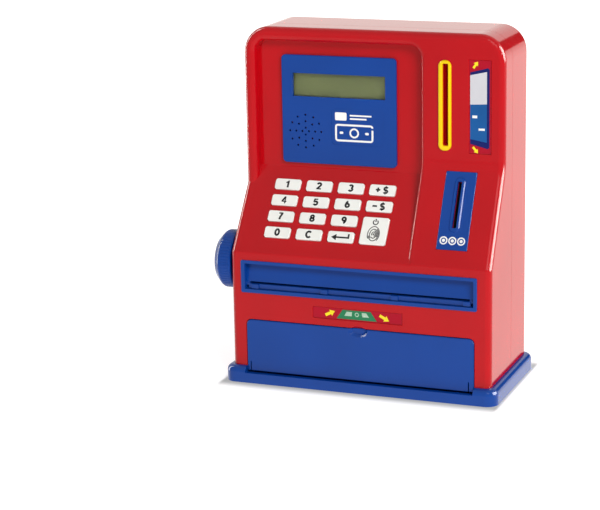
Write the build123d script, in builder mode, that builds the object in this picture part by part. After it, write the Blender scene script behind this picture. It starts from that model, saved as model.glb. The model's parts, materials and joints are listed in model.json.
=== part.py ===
from build123d import *
from math import cos, radians, sin, tan
import os

# Toy cash machine savings bank. Millimetres, +X to the viewer's right, +Y to the back, +Z up.
# The origin is on the ground at the centre of the base.

# ---------------------------------------------------------------- driving dimensions
base_width = 196.0
base_depth = 99.0
base_height = 11.3
base_floor = 3.0
base_corner_r = 8.0
base_edge_r = 4.0
base_flange = 4.9

housing_top = 243.8
top_corner_r = 18.0
outer_edge_r = 4.5
wall = 2.5
parting_y = 6.0
waist_z = 92.5
waist_r = 2.0
upper_y = -13.2
recess_y = -5.0
keypad_angle = 53.6
column_angle = 63.0
column_x = 34.5
column_bend_r = 20.0
column_join_z = 200.0

recess_left = -84.5
recess_top = 234.5
recess_corner_r = 8.0
rim_r = 3.5

running_gap = 0.05
board_thick = 1.6
screw_r = 1.5
screw_head_r = 2.8
boss_r = 3.5

half_width = base_width / 2 - base_flange
front_y = -(base_depth / 2 - base_flange)
back_y = -front_y
side_x = half_width - wall

# Key pad: columns by X, rows by distance up the slope from the waist.
key_width = 18.7
key_height = 8.0
key_columns = [-61.2, -38.05, -14.9, 7.9]
key_rows = [52.4, 40.3, 28.2, 16.1]
key_corner_r = 1.6
key_proud = 1.2
key_flange = 1.0
key_gap = 0.25
key_stem = (6.0, 4.0)
key_edge_r = 0.5
power_key_height = key_rows[2] - key_rows[3] + key_height
pad_board_centre = (-25.5, 33.0)
pad_board_size = (108.0, 54.0)
membrane_size = (104.0, 52.0)
membrane_thick = 0.8
pad_board_depth = 7.5

# Display.
panel_x = (-67.3, 15.7)
panel_z = (149.3, 224.5)
panel_thick = 2.5
window_x = (-59.1, 8.0)
window_z = (196.0, 212.0)
speaker_x = -50.0
speaker_z = 171.8
speaker_rings = [(2.4, 4), (6.9, 8), (11.4, 12)]
grille_hole_r = 0.75
patch_centre = (-12.1, 175.75)
patch_size = (37.6, 24.3)
main_board_centre = (-26.0, 188.0)
main_board_size = (80.0, 76.0)
main_board_y = 4.0

# Bill feed.
bezel_x = (-85.2, 83.8)
bezel_z = (64.0, 86.9)
mouth_x = (-82.3, 81.4)
mouth_z = (66.6, 84.7)
bill_slot_x = (-79.6, 78.2)
bill_slot_z = (70.1, 71.5)
mouth_depth = 4.8
slot_depth = 2.4
lip_depth = 1.3
insert_depth = 9.0
shaft_y = -22.5
shaft_z = 81.5
shaft_r = 3.0
knob_r = 20.4
knob_x = (-108.0, -94.6)
roller_xs = [-75.2, -24.5, 25.9, 76.5]
roller_width = 7.6
feed_roller_r = 10.0
idler_roller_r = 4.5
nip_gap = 0.3
idler_z = shaft_z - feed_roller_r - nip_gap - idler_roller_r
idler_shaft_r = 1.5
guide_top = 70.0
guide_thick = 1.5
guide_centre_y = -20.5
guide_depth = 29.0
guide_cheek_x = 82.0
guide_screws_at = [(-87.4, -10), (87.4, -10)]
bush_r = 5.0
bush_flange_r = 7.0
right_bush_r = 4.5
right_bush_x = 84.0
shaft_end_x = 88.5

# Cash door.
door_half = 81.7
door_z = (8.2, 44.7)
door_thick = 2.6
door_proud = 0.6
door_gap = 0.5
door_corner_r = 3.5
hinge_y = -43.4
hinge_z = 9.2
hinge_pin_r = 1.2
lip_top = 7.0
scoop_z = 43.1
ear_slits = (-79.2, 78.1)
compartment_depth = 86.0

# Card and coin slots.
card_slot_x = (51.0, 54.1)
card_slot_z = (168.8, 223.4)
card_bezel_x = (47.6, 56.5)
card_bezel_z = (165.0, 226.0)
coin_plate_x = (53.5, 75.2)
coin_plate_s = (12.0, 66.3)
coin_slot_x = (62.8, 65.8)
coin_slot_s = (27.0, 59.0)
bill_label_x = (-32.8, 31.4)
bill_label_z = (50.0, 58.0)
card_label_x = (68.5, 83.8)
card_label_z = (163.8, 226.7)
label_depth = 0.9
label_thick = 0.2
label_ease = 0.35

# Batteries, three AA cells lying along X.
cell_r = 7.2
cell_length = 50.0
cell_pitch = 15.4
cell_z = 143.0
battery_half_x = 30.5
battery_y = 26.0
battery_door_z = (115.5, 178.0)
battery_door_half = 32.0
battery_door_thick = 1.5
battery_screw_z = 172.5
cell_y = 34.5

housing_bosses = [(-86, 60), (86, 60), (-86, 165), (86, 165), (-82, 229), (82, 229)]
base_bosses = [(-87.5, -32), (87.5, -32), (-87.5, 30), (87.5, 30)]
board_bosses = [(-62, 154), (-62, 222), (10, 154), (10, 222)]
pad_bosses = [(-76, 10), (-76, 56), (25, 10), (25, 56)]

keypad_plane = Plane(
    origin=(0, front_y, waist_z),
    x_dir=(1, 0, 0),
    z_dir=(0, -sin(radians(keypad_angle)), cos(radians(keypad_angle))),
)
column_plane = Plane(
    origin=(0, front_y, waist_z),
    x_dir=(1, 0, 0),
    z_dir=(0, -sin(radians(column_angle)), cos(radians(column_angle))),
)

os.makedirs("parts", exist_ok=True)


def save(piece, name):
    """Label one finished piece and write it to its own file."""
    piece.part.label = name
    export_step(piece.part, f"parts/{name}.step")


def middle(span):
    return (span[0] + span[1]) / 2


def length(span):
    return span[1] - span[0]


def facing(y):
    """Plane of a front view at depth y: its own X and Y are the housing's X and Z, and it faces -Y."""
    return Plane(origin=(0, y, 0), x_dir=(1, 0, 0), z_dir=(0, -1, 0))


def side_points(angle, face_y, inset, bottom, top):
    """Side view of the front shell as (y, z): upright front, slope from the waist, upright face."""
    front = front_y + inset
    face = face_y + inset
    drop = inset / cos(radians(angle))

    def slope_z(y):
        return waist_z + (y - front_y) * tan(radians(angle)) - drop

    back = parting_y + (inset > 0)
    return [
        (back, bottom),
        (front, bottom),
        (front, slope_z(front)),
        (face, slope_z(face)),
        (face, top),
        (back, top),
    ]


def housing_outline(plane, inset, bottom):
    """Front view of the housing: upright sides and two round top corners."""
    top = housing_top - inset
    with BuildSketch(plane) as outline:
        with Locations((0, (top + bottom) / 2)):
            Rectangle(2 * (half_width - inset), top - bottom)
        fillet(outline.vertices().group_by(Axis.Y)[-1], top_corner_r - inset)
    return outline.sketch


# ---------------------------------------------------------------- front shell
# The core: everything up to the keypad slope and the floor of the display recess.
with BuildPart() as core:
    with BuildSketch(Plane.YZ) as core_side:
        with BuildLine():
            Polyline(*side_points(keypad_angle, recess_y, 0, base_height, housing_top), close=True)
        make_face()
        fillet(core_side.vertices().sort_by_distance((front_y, waist_z, 0))[0], waist_r)
    extrude(amount=half_width, both=True)
    extrude(housing_outline(facing(parting_y), 0, 0), amount=60, mode=Mode.INTERSECT)

# The raised surround of the display recess, with its rounded rim.
with BuildPart() as surround:
    with BuildSketch(facing(recess_y + 1)) as ring:
        add(housing_outline(Plane.XY, 0, 130))
        with BuildSketch(Plane.XY, mode=Mode.SUBTRACT) as opening:
            with Locations((middle((recess_left, column_x)), recess_top / 2)):
                Rectangle(length((recess_left, column_x)), recess_top)
            fillet(opening.vertices().group_by(Axis.Y)[-1], recess_corner_r)
        with Locations((column_x, 0)):
            Rectangle(100, column_join_z, align=(Align.MIN, Align.MIN), mode=Mode.SUBTRACT)
    extrude(amount=recess_y + 1 - upper_y)
    face = surround.faces().sort_by(Axis.Y)[0]
    rim = [
        edge
        for edge in face.edges()
        if recess_left - 0.1 <= edge.center().X <= column_x + 0.1
        and edge.center().Z <= recess_top + 0.1
        and edge.center().Z > 131
    ]
    fillet(rim, rim_r)

# The raised column on the right, with its rounded left edge.
with BuildPart() as column:
    with BuildSketch(Plane.YZ.offset(column_x)) as column_side:
        with BuildLine():
            Polyline(*side_points(column_angle, upper_y, 0, 60, column_join_z), close=True)
        make_face()
        fillet(column_side.vertices().sort_by_distance((front_y, waist_z, 0))[0], waist_r)
        bend_z = waist_z + (upper_y - front_y) * tan(radians(column_angle))
        fillet(column_side.vertices().sort_by_distance((upper_y, bend_z, 0))[0], column_bend_r)
    extrude(amount=half_width - column_x)
    left = [
        edge
        for edge in column.faces().sort_by(Axis.X)[0].edges()
        if edge.center().Y < parting_y - 1 and 61 < edge.center().Z < column_join_z - 1
    ]
    fillet(left, rim_r)

# The hollow behind the walls.
with BuildPart() as hollow:
    with BuildSketch(Plane.YZ):
        with BuildLine():
            Polyline(*side_points(keypad_angle, recess_y, wall, 0, housing_top), close=True)
        make_face()
    extrude(amount=side_x, both=True)
    with BuildSketch(Plane.YZ.offset(column_x + wall)):
        with BuildLine():
            Polyline(*side_points(column_angle, upper_y, wall, 0, housing_top), close=True)
        make_face()
    extrude(amount=side_x - column_x - wall)
    extrude(housing_outline(facing(parting_y + 1), wall, -1), amount=60, mode=Mode.INTERSECT)

# The dished finger scoop across the top edge of the door.
with BuildPart() as scoop:
    with BuildSketch(facing(front_y - door_proud - 0.2)):
        with Locations((0, scoop_z)):
            Ellipse(7.3, 4.2)
    with BuildSketch(facing(front_y + 1.4)):
        with Locations((0, scoop_z)):
            Ellipse(4.6, 2.3)
    loft()

with BuildPart() as front_shell:
    add(core.part)
    add(surround.part)
    add(column.part)
    # Round the outer front edges in one run, from the base up one side, over and down the other.
    corner_x = half_width - top_corner_r * (1 - 1 / 2**0.5)
    outer = [
        edge
        for edge in front_shell.edges()
        if edge.center().Y < parting_y - 1
        and edge.center().Z > base_height + 1
        and abs(edge.tangent_at(0.5).Y) < 0.95
        and (
            abs(abs(edge.center().X) - half_width) < 0.01
            or abs(edge.center().Z - housing_top) < 0.01
            or abs(edge @ 0.5 - Vector(corner_x, upper_y, housing_top + corner_x - half_width)) < 0.1
            or abs(edge @ 0.5 - Vector(-corner_x, upper_y, housing_top + corner_x - half_width)) < 0.1
        )
    ]
    fillet(outer, outer_edge_r)
    add(hollow.part, mode=Mode.SUBTRACT)
    # Bosses for the screws that come through the rear shell.
    with BuildSketch(facing(parting_y)):
        with Locations(*housing_bosses):
            Circle(boss_r)
    extrude(until=Until.NEXT)
    with BuildSketch(facing(parting_y)):
        with Locations(*housing_bosses):
            Circle(screw_r)
    extrude(amount=8, mode=Mode.SUBTRACT)
    # Bosses for the base screws.
    with BuildSketch(Plane.XY.offset(base_height)):
        with Locations(*base_bosses[:2]):
            Circle(boss_r)
    extrude(amount=14)
    with BuildSketch(Plane.XY.offset(base_height)):
        with Locations(*base_bosses[:2]):
            Circle(screw_r)
    extrude(amount=10, mode=Mode.SUBTRACT)
    # Posts for the main board, behind the display.
    with BuildSketch(facing(main_board_y)):
        with Locations(*board_bosses):
            Circle(2.8)
    extrude(amount=main_board_y - recess_y - wall)
    with BuildSketch(facing(main_board_y)):
        with Locations(*board_bosses):
            Circle(0.9)
    extrude(amount=5, mode=Mode.SUBTRACT)
    # Posts for the key pad board, square to the slope.
    with BuildSketch(keypad_plane.offset(-wall)):
        with Locations(*pad_bosses):
            Circle(2.2)
    extrude(amount=-5)
    with BuildSketch(keypad_plane.offset(-wall - 5)):
        with Locations(*pad_bosses):
            Circle(0.8)
    extrude(amount=4, mode=Mode.SUBTRACT)
    # Bearing boss for the right end of the feed shaft, ledges for the bill guide.
    with BuildSketch(Plane.YZ.offset(right_bush_x)):
        with Locations((shaft_y, shaft_z)):
            Circle(bush_flange_r)
            Circle(right_bush_r, mode=Mode.SUBTRACT)
    extrude(amount=side_x - right_bush_x + 0.5)
    for side in (-1, 1):
        with BuildSketch(Plane.XY.offset(guide_top - guide_thick - 5)):
            with Locations((side * (side_x - 2.8), -20)):
                Rectangle(6.6, 30)
            with Locations(*guide_screws_at):
                Circle(1.2, mode=Mode.SUBTRACT)
        extrude(amount=5)
    # Key openings.
    with BuildSketch(keypad_plane.offset(5)):
        with Locations(*[(x, s) for x in key_columns[:3] for s in key_rows]):
            RectangleRounded(key_width + 2 * key_gap, key_height + 2 * key_gap, key_corner_r)
        with Locations(*[(key_columns[3], s) for s in key_rows[:2]]):
            RectangleRounded(key_width + 2 * key_gap, key_height + 2 * key_gap, key_corner_r)
        with Locations((key_columns[3], middle(key_rows[2:]))):
            RectangleRounded(key_width + 2 * key_gap, power_key_height + 2 * key_gap, key_corner_r)
    extrude(amount=-10, mode=Mode.SUBTRACT)
    # Display window and sound holes behind the panel.
    with BuildSketch(facing(0)):
        with Locations((middle(window_x), middle(window_z))):
            Rectangle(length(window_x) + 3, length(window_z) + 3)
        for ring_r, count in speaker_rings:
            with Locations((speaker_x, speaker_z)):
                with PolarLocations(ring_r, count):
                    Circle(grille_hole_r * 0.7)
    extrude(amount=20, mode=Mode.SUBTRACT)
    # Bill slot opening and cash door opening.
    with BuildSketch(facing(front_y + 5)):
        with Locations((middle(bezel_x), middle(bezel_z))):
            Rectangle(length(bezel_x) - 4, length(bezel_z) - 4)
    extrude(amount=10, mode=Mode.SUBTRACT)
    with BuildSketch(facing(front_y + 5)) as doorway:
        Rectangle(2 * (door_half + door_gap), 2 * (door_z[1] + door_gap))
        fillet(doorway.vertices().group_by(Axis.Z)[-1], door_corner_r + door_gap)
    extrude(amount=10, mode=Mode.SUBTRACT)
    # Card slot, and shallow recesses for the two labels.
    with BuildSketch(facing(0)):
        with Locations((middle(card_slot_x), middle(card_slot_z))):
            Rectangle(length(card_slot_x), length(card_slot_z))
    extrude(amount=30, mode=Mode.SUBTRACT)
    with BuildSketch(facing(upper_y + label_depth)):
        with Locations((middle(card_label_x), middle(card_label_z))):
            Rectangle(length(card_label_x), length(card_label_z))
    extrude(amount=5, mode=Mode.SUBTRACT)
    with BuildSketch(facing(front_y + label_depth)):
        with Locations((middle(bill_label_x), middle(bill_label_z))):
            Rectangle(length(bill_label_x), length(bill_label_z))
    extrude(amount=5, mode=Mode.SUBTRACT)
    # The recesses' mouths are eased all round.
    for label_x, label_z, face_y in (
        (card_label_x, card_label_z, upper_y),
        (bill_label_x, bill_label_z, front_y),
    ):
        mouth = [
            edge
            for edge in front_shell.edges()
            if abs(edge.center().Y - face_y) < 0.01
            and label_x[0] - 0.1 < edge.center().X < label_x[1] + 0.1
            and label_z[0] - 0.1 < edge.center().Z < label_z[1] + 0.1
        ]
        chamfer(mouth, label_ease)
    # Seat for the coin plate, and the coin slot through it.
    with BuildSketch(column_plane.offset(-1)):
        with Locations((middle(coin_plate_x), middle(coin_plate_s))):
            Rectangle(length(coin_plate_x), length(coin_plate_s))
    extrude(amount=6, mode=Mode.SUBTRACT)
    with BuildSketch(column_plane):
        with Locations((middle(coin_slot_x), middle(coin_slot_s))):
            Rectangle(length(coin_slot_x), length(coin_slot_s))
    extrude(amount=-6, mode=Mode.SUBTRACT)
    # Hole for the left bush of the feed shaft.
    with BuildSketch(Plane.YZ.offset(-half_width - 1)):
        with Locations((shaft_y, shaft_z)):
            Circle(bush_r)
    extrude(amount=10, mode=Mode.SUBTRACT)
    # Finger scoop above the door.
    add(scoop.part, mode=Mode.SUBTRACT)
save(front_shell, "front_shell")


# ---------------------------------------------------------------- rear shell
battery_z = (cell_z - 1.5 * cell_pitch - 1.0, cell_z + 1.5 * cell_pitch + 1.0)
with BuildPart() as rear_shell:
    add(
        extrude(housing_outline(facing(parting_y), 0, base_height), amount=parting_y - back_y, mode=Mode.PRIVATE)
    )
    rear = [edge for edge in rear_shell.faces().sort_by(Axis.Y)[-1].edges() if edge.center().Z > base_height + 1]
    fillet(rear, 4.0)
    add(
        extrude(
            housing_outline(facing(parting_y), wall, 0), amount=parting_y - back_y + wall, mode=Mode.PRIVATE
        ),
        mode=Mode.SUBTRACT,
    )
    seam = [
        edge
        for edge in rear_shell.faces().sort_by(Axis.Y)[0].outer_wire().edges()
        if edge.center().Z > base_height + 1 and (
            abs(abs(edge.center().X) - half_width) < 6 or abs(edge.center().Z - housing_top) < 0.1
        )
    ]
    chamfer(seam, 0.35)
    # Screw bosses from the back wall to the joint, with recessed heads.
    with BuildSketch(facing(back_y - 1)):
        with Locations(*housing_bosses):
            Circle(boss_r + 0.8)
    extrude(amount=back_y - 1 - parting_y)
    with BuildSketch(facing(back_y)):
        with Locations(*housing_bosses):
            Circle(screw_r + 0.1)
    extrude(amount=back_y - parting_y, mode=Mode.SUBTRACT)
    with BuildSketch(facing(back_y)):
        with Locations(*housing_bosses):
            Circle(screw_head_r + 0.3)
    extrude(amount=back_y - parting_y - 5, mode=Mode.SUBTRACT)
    # Bosses for the base screws.
    with BuildSketch(Plane.XY.offset(base_height)):
        with Locations(*base_bosses[2:]):
            Circle(boss_r)
    extrude(amount=14)
    with BuildSketch(Plane.XY.offset(base_height)):
        with Locations(*base_bosses[2:]):
            Circle(screw_r)
    extrude(amount=10, mode=Mode.SUBTRACT)
    # Battery opening, the door's seat and the boss for its screw.
    with BuildSketch(facing(back_y - wall)):
        with Locations((0, battery_screw_z)):
            Circle(boss_r)
    extrude(amount=9)
    with BuildSketch(facing(back_y - wall + 1)):
        with Locations((0, battery_screw_z)):
            Circle(screw_r)
    extrude(amount=9, mode=Mode.SUBTRACT)
    with BuildSketch(facing(back_y + 1)):
        with Locations((0, middle(battery_door_z))):
            Rectangle(2 * battery_door_half + 0.4, length(battery_door_z) + 0.4)
        fillet(vertices(), 3)
    extrude(amount=1 + battery_door_thick, mode=Mode.SUBTRACT)
    with BuildSketch(facing(back_y + 1)):
        with Locations((0, cell_z)):
            Rectangle(2 * battery_half_x - 3, length(battery_z))
    extrude(amount=5, mode=Mode.SUBTRACT)
save(rear_shell, "rear_shell")


# ---------------------------------------------------------------- base and cash door
with BuildPart() as base_plate:
    with BuildSketch():
        RectangleRounded(base_width, base_depth, base_corner_r)
    extrude(amount=base_height)
    fillet(base_plate.faces().sort_by(Axis.Z)[-1].edges(), base_edge_r)
    # The cash compartment's floor, open to the front under the door.
    with BuildSketch(Plane.XY.offset(base_floor)):
        with Locations((0, front_y - door_proud - 0.3)):
            Rectangle(2 * (door_half + door_gap), compartment_depth, align=(Align.CENTER, Align.MIN))
    extrude(amount=base_height, mode=Mode.SUBTRACT)
    with BuildSketch(Plane.XY.offset(lip_top)):
        with Locations((0, -base_depth / 2 - 1)):
            Rectangle(2 * (door_half + door_gap), 10, align=(Align.CENTER, Align.MIN))
    extrude(amount=base_height, mode=Mode.SUBTRACT)
    # Blind holes for the door's hinge pins.
    for side in (-1, 1):
        with BuildSketch(Plane.YZ.offset(side * (door_half + door_gap))):
            with Locations((hinge_y, hinge_z)):
                Circle(hinge_pin_r + running_gap)
        extrude(amount=side * 4, mode=Mode.SUBTRACT)
    # Screw holes with recessed heads, from below.
    with BuildSketch():
        with Locations(*base_bosses):
            Circle(screw_r + 0.1)
    extrude(amount=base_height, mode=Mode.SUBTRACT)
    with BuildSketch():
        with Locations(*base_bosses):
            Circle(screw_head_r + 0.3)
    extrude(amount=4, mode=Mode.SUBTRACT)
save(base_plate, "base_plate")

with BuildPart() as cash_door:
    with BuildSketch(facing(front_y - door_proud + door_thick)):
        with Locations((0, middle(door_z))):
            Rectangle(2 * door_half, length(door_z))
        fillet(vertices().group_by(Axis.Y)[-1], door_corner_r)
    extrude(amount=door_thick)
    fillet(cash_door.faces().sort_by(Axis.Y)[0].edges().filter_by(lambda e: e.center().Z > door_z[0] + 1), 0.6)
    add(scoop.part, mode=Mode.SUBTRACT)
    # Slits that let the hinge ears flex, and the pins themselves.
    with BuildSketch(facing(0)):
        with Locations(*[(x, door_z[0]) for x in ear_slits]):
            Rectangle(0.8, 6.5, align=(Align.CENTER, Align.MIN))
    extrude(amount=60, mode=Mode.SUBTRACT)
    for side in (-1, 1):
        with BuildSketch(Plane.YZ.offset(side * (door_half - 1))):
            with Locations((hinge_y, hinge_z)):
                Circle(hinge_pin_r)
        extrude(amount=side * 4.2)
save(cash_door, "cash_door")

# ---------------------------------------------------------------- display
with BuildPart() as display_panel:
    with BuildSketch(facing(recess_y)):
        with Locations((middle(panel_x), middle(panel_z))):
            RectangleRounded(length(panel_x), length(panel_z), 3)
    extrude(amount=panel_thick)
    fillet(display_panel.faces().sort_by(Axis.Y)[0].edges(), 0.8)
    with BuildSketch(facing(recess_y)):
        with Locations((middle(window_x), middle(window_z))):
            Rectangle(length(window_x), length(window_z))
        for ring_r, count in speaker_rings:
            with Locations((speaker_x, speaker_z)):
                with PolarLocations(ring_r, count):
                    Circle(grille_hole_r)
    extrude(amount=panel_thick, mode=Mode.SUBTRACT)
    # A faint rounded square beside the sound holes.
    with BuildSketch(facing(recess_y - panel_thick + 0.3)):
        with Locations(patch_centre):
            RectangleRounded(*patch_size, 2.5)
    extrude(amount=1, mode=Mode.SUBTRACT)
save(display_panel, "display_panel")

with BuildPart() as display_lens:
    with BuildSketch(facing(recess_y + 1)):
        with Locations((middle(window_x), middle(window_z))):
            Rectangle(length(window_x) + 2.6, length(window_z) + 2.6)
    extrude(amount=1)
save(display_lens, "display_lens")

with BuildPart() as lcd_module:
    with BuildSketch(facing(recess_y + 3.4)):
        with Locations((middle(window_x), middle(window_z))):
            Rectangle(length(window_x) + 2.6, length(window_z) + 2.6)
    extrude(amount=2.3)
    with BuildSketch(facing(recess_y + 6)):
        with Locations((middle(window_x), middle(window_z))):
            Rectangle(length(window_x) + 6, length(window_z) + 6)
    extrude(amount=2.6)
save(lcd_module, "lcd_module")

with BuildPart() as main_board:
    with BuildSketch(facing(main_board_y + board_thick)):
        with Locations(main_board_centre):
            Rectangle(*main_board_size)
        with Locations(*board_bosses):
            Circle(1.2, mode=Mode.SUBTRACT)
    extrude(amount=board_thick)
    # Controller chip and two capacitors on the back.
    with BuildSketch(facing(main_board_y + board_thick)):
        with Locations((-20, 180)):
            Rectangle(14, 14)
        with Locations((-45, 200), (-36, 200)):
            Circle(2.5)
    extrude(amount=-2.5)
save(main_board, "main_board")

with BuildPart() as speaker:
    with BuildSketch(facing(recess_y + wall)):
        with Locations((speaker_x, speaker_z)):
            Circle(14)
    extrude(amount=-3)
    with BuildSketch(facing(recess_y + wall + 3)):
        with Locations((speaker_x, speaker_z)):
            Circle(8)
    extrude(amount=-3)
save(speaker, "speaker")


def screw(spots, plane, reach, head, radius, head_r):
    """Pan-head screws on one plane: the heads stand on it and the shanks go the other way."""
    with BuildPart() as made:
        with BuildSketch(plane):
            with Locations(*spots):
                Circle(head_r)
        extrude(amount=head)
        with BuildSketch(plane):
            with Locations(*spots):
                Circle(radius)
        extrude(amount=-reach)
        with BuildSketch(plane.offset(head)):
            with Locations(*spots):
                Rectangle(head_r * 1.2, 0.6)
                Rectangle(0.6, head_r * 1.2)
        extrude(amount=-head * 0.5, mode=Mode.SUBTRACT)
    return made


def backing(y):
    """Plane of a rear view at depth y: it faces +Y and its own Y is up."""
    return Plane(origin=(0, y, 0), x_dir=(-1, 0, 0), z_dir=(0, 1, 0))


def seen_from_behind(spots):
    return [(-x, z) for x, z in spots]


board_screws = screw(seen_from_behind(board_bosses), backing(main_board_y + board_thick), 5, 1.2, 0.9, 1.8)
save(board_screws, "board_screws")
housing_screws = screw(
    seen_from_behind(housing_bosses), backing(parting_y + 5), 12, 2.0, screw_r, screw_head_r
)
save(housing_screws, "housing_screws")
base_screws = screw(
    [(x, -y) for x, y in base_bosses],
    Plane(origin=(0, 0, 4), x_dir=(1, 0, 0), z_dir=(0, 0, -1)),
    16, 2.0, screw_r, screw_head_r,
)
save(base_screws, "base_screws")

# ---------------------------------------------------------------- key pad


def key_cap(x, s, height):
    """One key: a cap that stands proud of the slope and a wider flange behind the wall."""
    with BuildPart() as made:
        with BuildSketch(keypad_plane.offset(-wall)):
            with Locations((x, s)):
                RectangleRounded(key_width, height, key_corner_r)
        extrude(amount=wall + key_proud)
        top_edges = made.faces().filter_by(keypad_plane).sort_by(
            lambda f: (f.center() - keypad_plane.origin).dot(keypad_plane.z_dir)
        )[-1].edges()
        fillet(top_edges, key_edge_r)
        with BuildSketch(keypad_plane.offset(-wall - 0.1)):
            with Locations((x, s)):
                Rectangle(key_width + 2 * key_flange, height + 2 * key_flange)
        extrude(amount=-key_flange)
        with BuildSketch(keypad_plane.offset(-wall)):
            with Locations((x, s)):
                Rectangle(*key_stem)
        extrude(amount=-key_flange - 1.5)
    return made


key_layout = [
    ["1", "2", "3", "add"],
    ["4", "5", "6", "subtract"],
    ["7", "8", "9", None],
    ["0", "clear", "enter", None],
]
for row_s, names in zip(key_rows, key_layout):
    for column_centre, name in zip(key_columns, names):
        if name:
            save(key_cap(column_centre, row_s, key_height), f"key_{name}")
power_s = middle(key_rows[2:])
save(key_cap(key_columns[3], power_s, power_key_height), "key_power")

key_spots = [(x, s) for x in key_columns[:3] for s in key_rows]
key_spots += [(key_columns[3], s) for s in key_rows[:2]] + [(key_columns[3], power_s)]

with BuildPart() as keypad_membrane:
    with BuildSketch(keypad_plane.offset(-pad_board_depth)):
        with Locations(pad_board_centre):
            Rectangle(*membrane_size)
        with Locations(*pad_bosses):
            Circle(2.6, mode=Mode.SUBTRACT)
    extrude(amount=membrane_thick)
    with BuildSketch(keypad_plane.offset(-pad_board_depth + membrane_thick)):
        with Locations(*key_spots):
            Circle(3.5)
    extrude(amount=0.5, taper=20)
save(keypad_membrane, "keypad_membrane")

with BuildPart() as keypad_board:
    with BuildSketch(keypad_plane.offset(-pad_board_depth)):
        with Locations(pad_board_centre):
            Rectangle(*pad_board_size)
        with Locations(*pad_bosses):
            Circle(1.1, mode=Mode.SUBTRACT)
    extrude(amount=-board_thick)
save(keypad_board, "keypad_board")

keypad_back = Plane(
    origin=keypad_plane.origin - keypad_plane.z_dir * (pad_board_depth + board_thick),
    x_dir=(-1, 0, 0),
    z_dir=-keypad_plane.z_dir,
)
keypad_screws = screw(seen_from_behind(pad_bosses), keypad_back, 4.6, 1.2, 0.8, 1.6)
save(keypad_screws, "keypad_screws")

# ---------------------------------------------------------------- bill feed
with BuildPart() as bill_slot_bezel:
    with BuildSketch(facing(front_y)):
        with Locations((middle(bezel_x), middle(bezel_z))):
            RectangleRounded(length(bezel_x), length(bezel_z), 1.2)
    extrude(amount=0.8)
    fillet(bill_slot_bezel.faces().sort_by(Axis.Y)[0].edges(), 0.35)
    with BuildSketch(facing(front_y + insert_depth)):
        with Locations((middle(bezel_x), middle(bezel_z))):
            Rectangle(length(bezel_x) - 4.3, length(bezel_z) - 4.3)
    extrude(amount=insert_depth)
    # The mouth: a panel that leans out towards the slot, over a low lip.
    with BuildSketch(Plane.YZ.offset(mouth_x[0])):
        with BuildLine():
            Polyline(
                (front_y - 1, mouth_z[1]),
                (front_y + mouth_depth, mouth_z[1]),
                (front_y + slot_depth, bill_slot_z[1]),
                (front_y + lip_depth, bill_slot_z[0]),
                (front_y + lip_depth, mouth_z[0]),
                (front_y - 1, mouth_z[0]),
                close=True,
            )
        make_face()
    extrude(amount=length(mouth_x), mode=Mode.SUBTRACT)
    with BuildSketch(facing(front_y + insert_depth + 1)):
        with Locations((middle(bill_slot_x), middle(bill_slot_z))):
            Rectangle(length(bill_slot_x), length(bill_slot_z))
    extrude(amount=insert_depth, mode=Mode.SUBTRACT)
    # Four small tabs on the lip, a groove along its foot, and a pocket at each end.
    with BuildSketch(facing(front_y + lip_depth + 0.3)):
        with Locations(*[(x, middle((mouth_z[0], bill_slot_z[0])) + 0.2) for x in roller_xs]):
            Rectangle(5.2, 2.9)
    extrude(amount=1.4)
    with BuildSketch(facing(front_y + lip_depth + 0.7)):
        with Locations((middle(mouth_x), mouth_z[0] + 0.35)):
            Rectangle(length(mouth_x), 0.5)
    extrude(amount=0.9, mode=Mode.SUBTRACT)
    with BuildSketch(facing(front_y + 4)):
        with Locations((mouth_x[0] + 1.2, 68.0), (mouth_x[1] - 1.2, 68.0)):
            Rectangle(2.0, 2.4)
    extrude(amount=4, mode=Mode.SUBTRACT)
save(bill_slot_bezel, "bill_slot_bezel")

rib_count = 60
with BuildPart() as feed_knob:
    with BuildSketch(Plane.XZ.offset(-shaft_y)):
        with BuildLine():
            Polyline(
                (knob_x[1], shaft_z), (knob_x[1], shaft_z + knob_r - 0.8), (knob_x[1] - 0.8, shaft_z + knob_r),
                (knob_x[0] + 4.5, shaft_z + knob_r), (knob_x[0], shaft_z + knob_r - 4.5),
                (knob_x[0], shaft_z + 13), (knob_x[0] + 1.2, shaft_z + 12), (knob_x[0] + 1.2, shaft_z),
                close=True,
            )
        make_face()
        fillet(vertices().sort_by_distance((knob_x[0] + 4.5, shaft_z + knob_r, 0))[0], 4)
        fillet(vertices().sort_by_distance((knob_x[0], shaft_z + knob_r - 4.5, 0))[0], 2)
    revolve(axis=Axis((0, shaft_y, shaft_z), (1, 0, 0)))
    with BuildSketch(Plane.YZ.offset(knob_x[0] - 1)):
        with Locations((shaft_y, shaft_z)):
            with PolarLocations(knob_r + 0.35, rib_count):
                Circle(0.75)
    extrude(amount=length(knob_x) + 2, mode=Mode.SUBTRACT)
    with BuildSketch(Plane.YZ.offset(knob_x[1])):
        with Locations((shaft_y, shaft_z)):
            Circle(shaft_r)
    extrude(amount=-9, mode=Mode.SUBTRACT)
save(feed_knob, "feed_knob")


def rod(x_from, x_to, y, z, radius):
    """A plain round rod along X."""
    with BuildPart() as made:
        with BuildSketch(Plane.YZ.offset(x_from)):
            with Locations((y, z)):
                Circle(radius)
        extrude(amount=x_to - x_from)
        chamfer(made.edges().filter_by(GeomType.CIRCLE), 0.3)
    return made


def rollers(y, z, radius, bore):
    """Four equal rollers along X, with rounded rims."""
    with BuildPart() as made:
        for x in roller_xs:
            with BuildSketch(Plane.YZ.offset(x - roller_width / 2)):
                with Locations((y, z)):
                    Circle(radius)
                    Circle(bore, mode=Mode.SUBTRACT)
            extrude(amount=roller_width)
        fillet(made.edges().filter_by(lambda e: e.geom_type == GeomType.CIRCLE and e.radius > radius - 0.1), 0.8)
    return made


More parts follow.
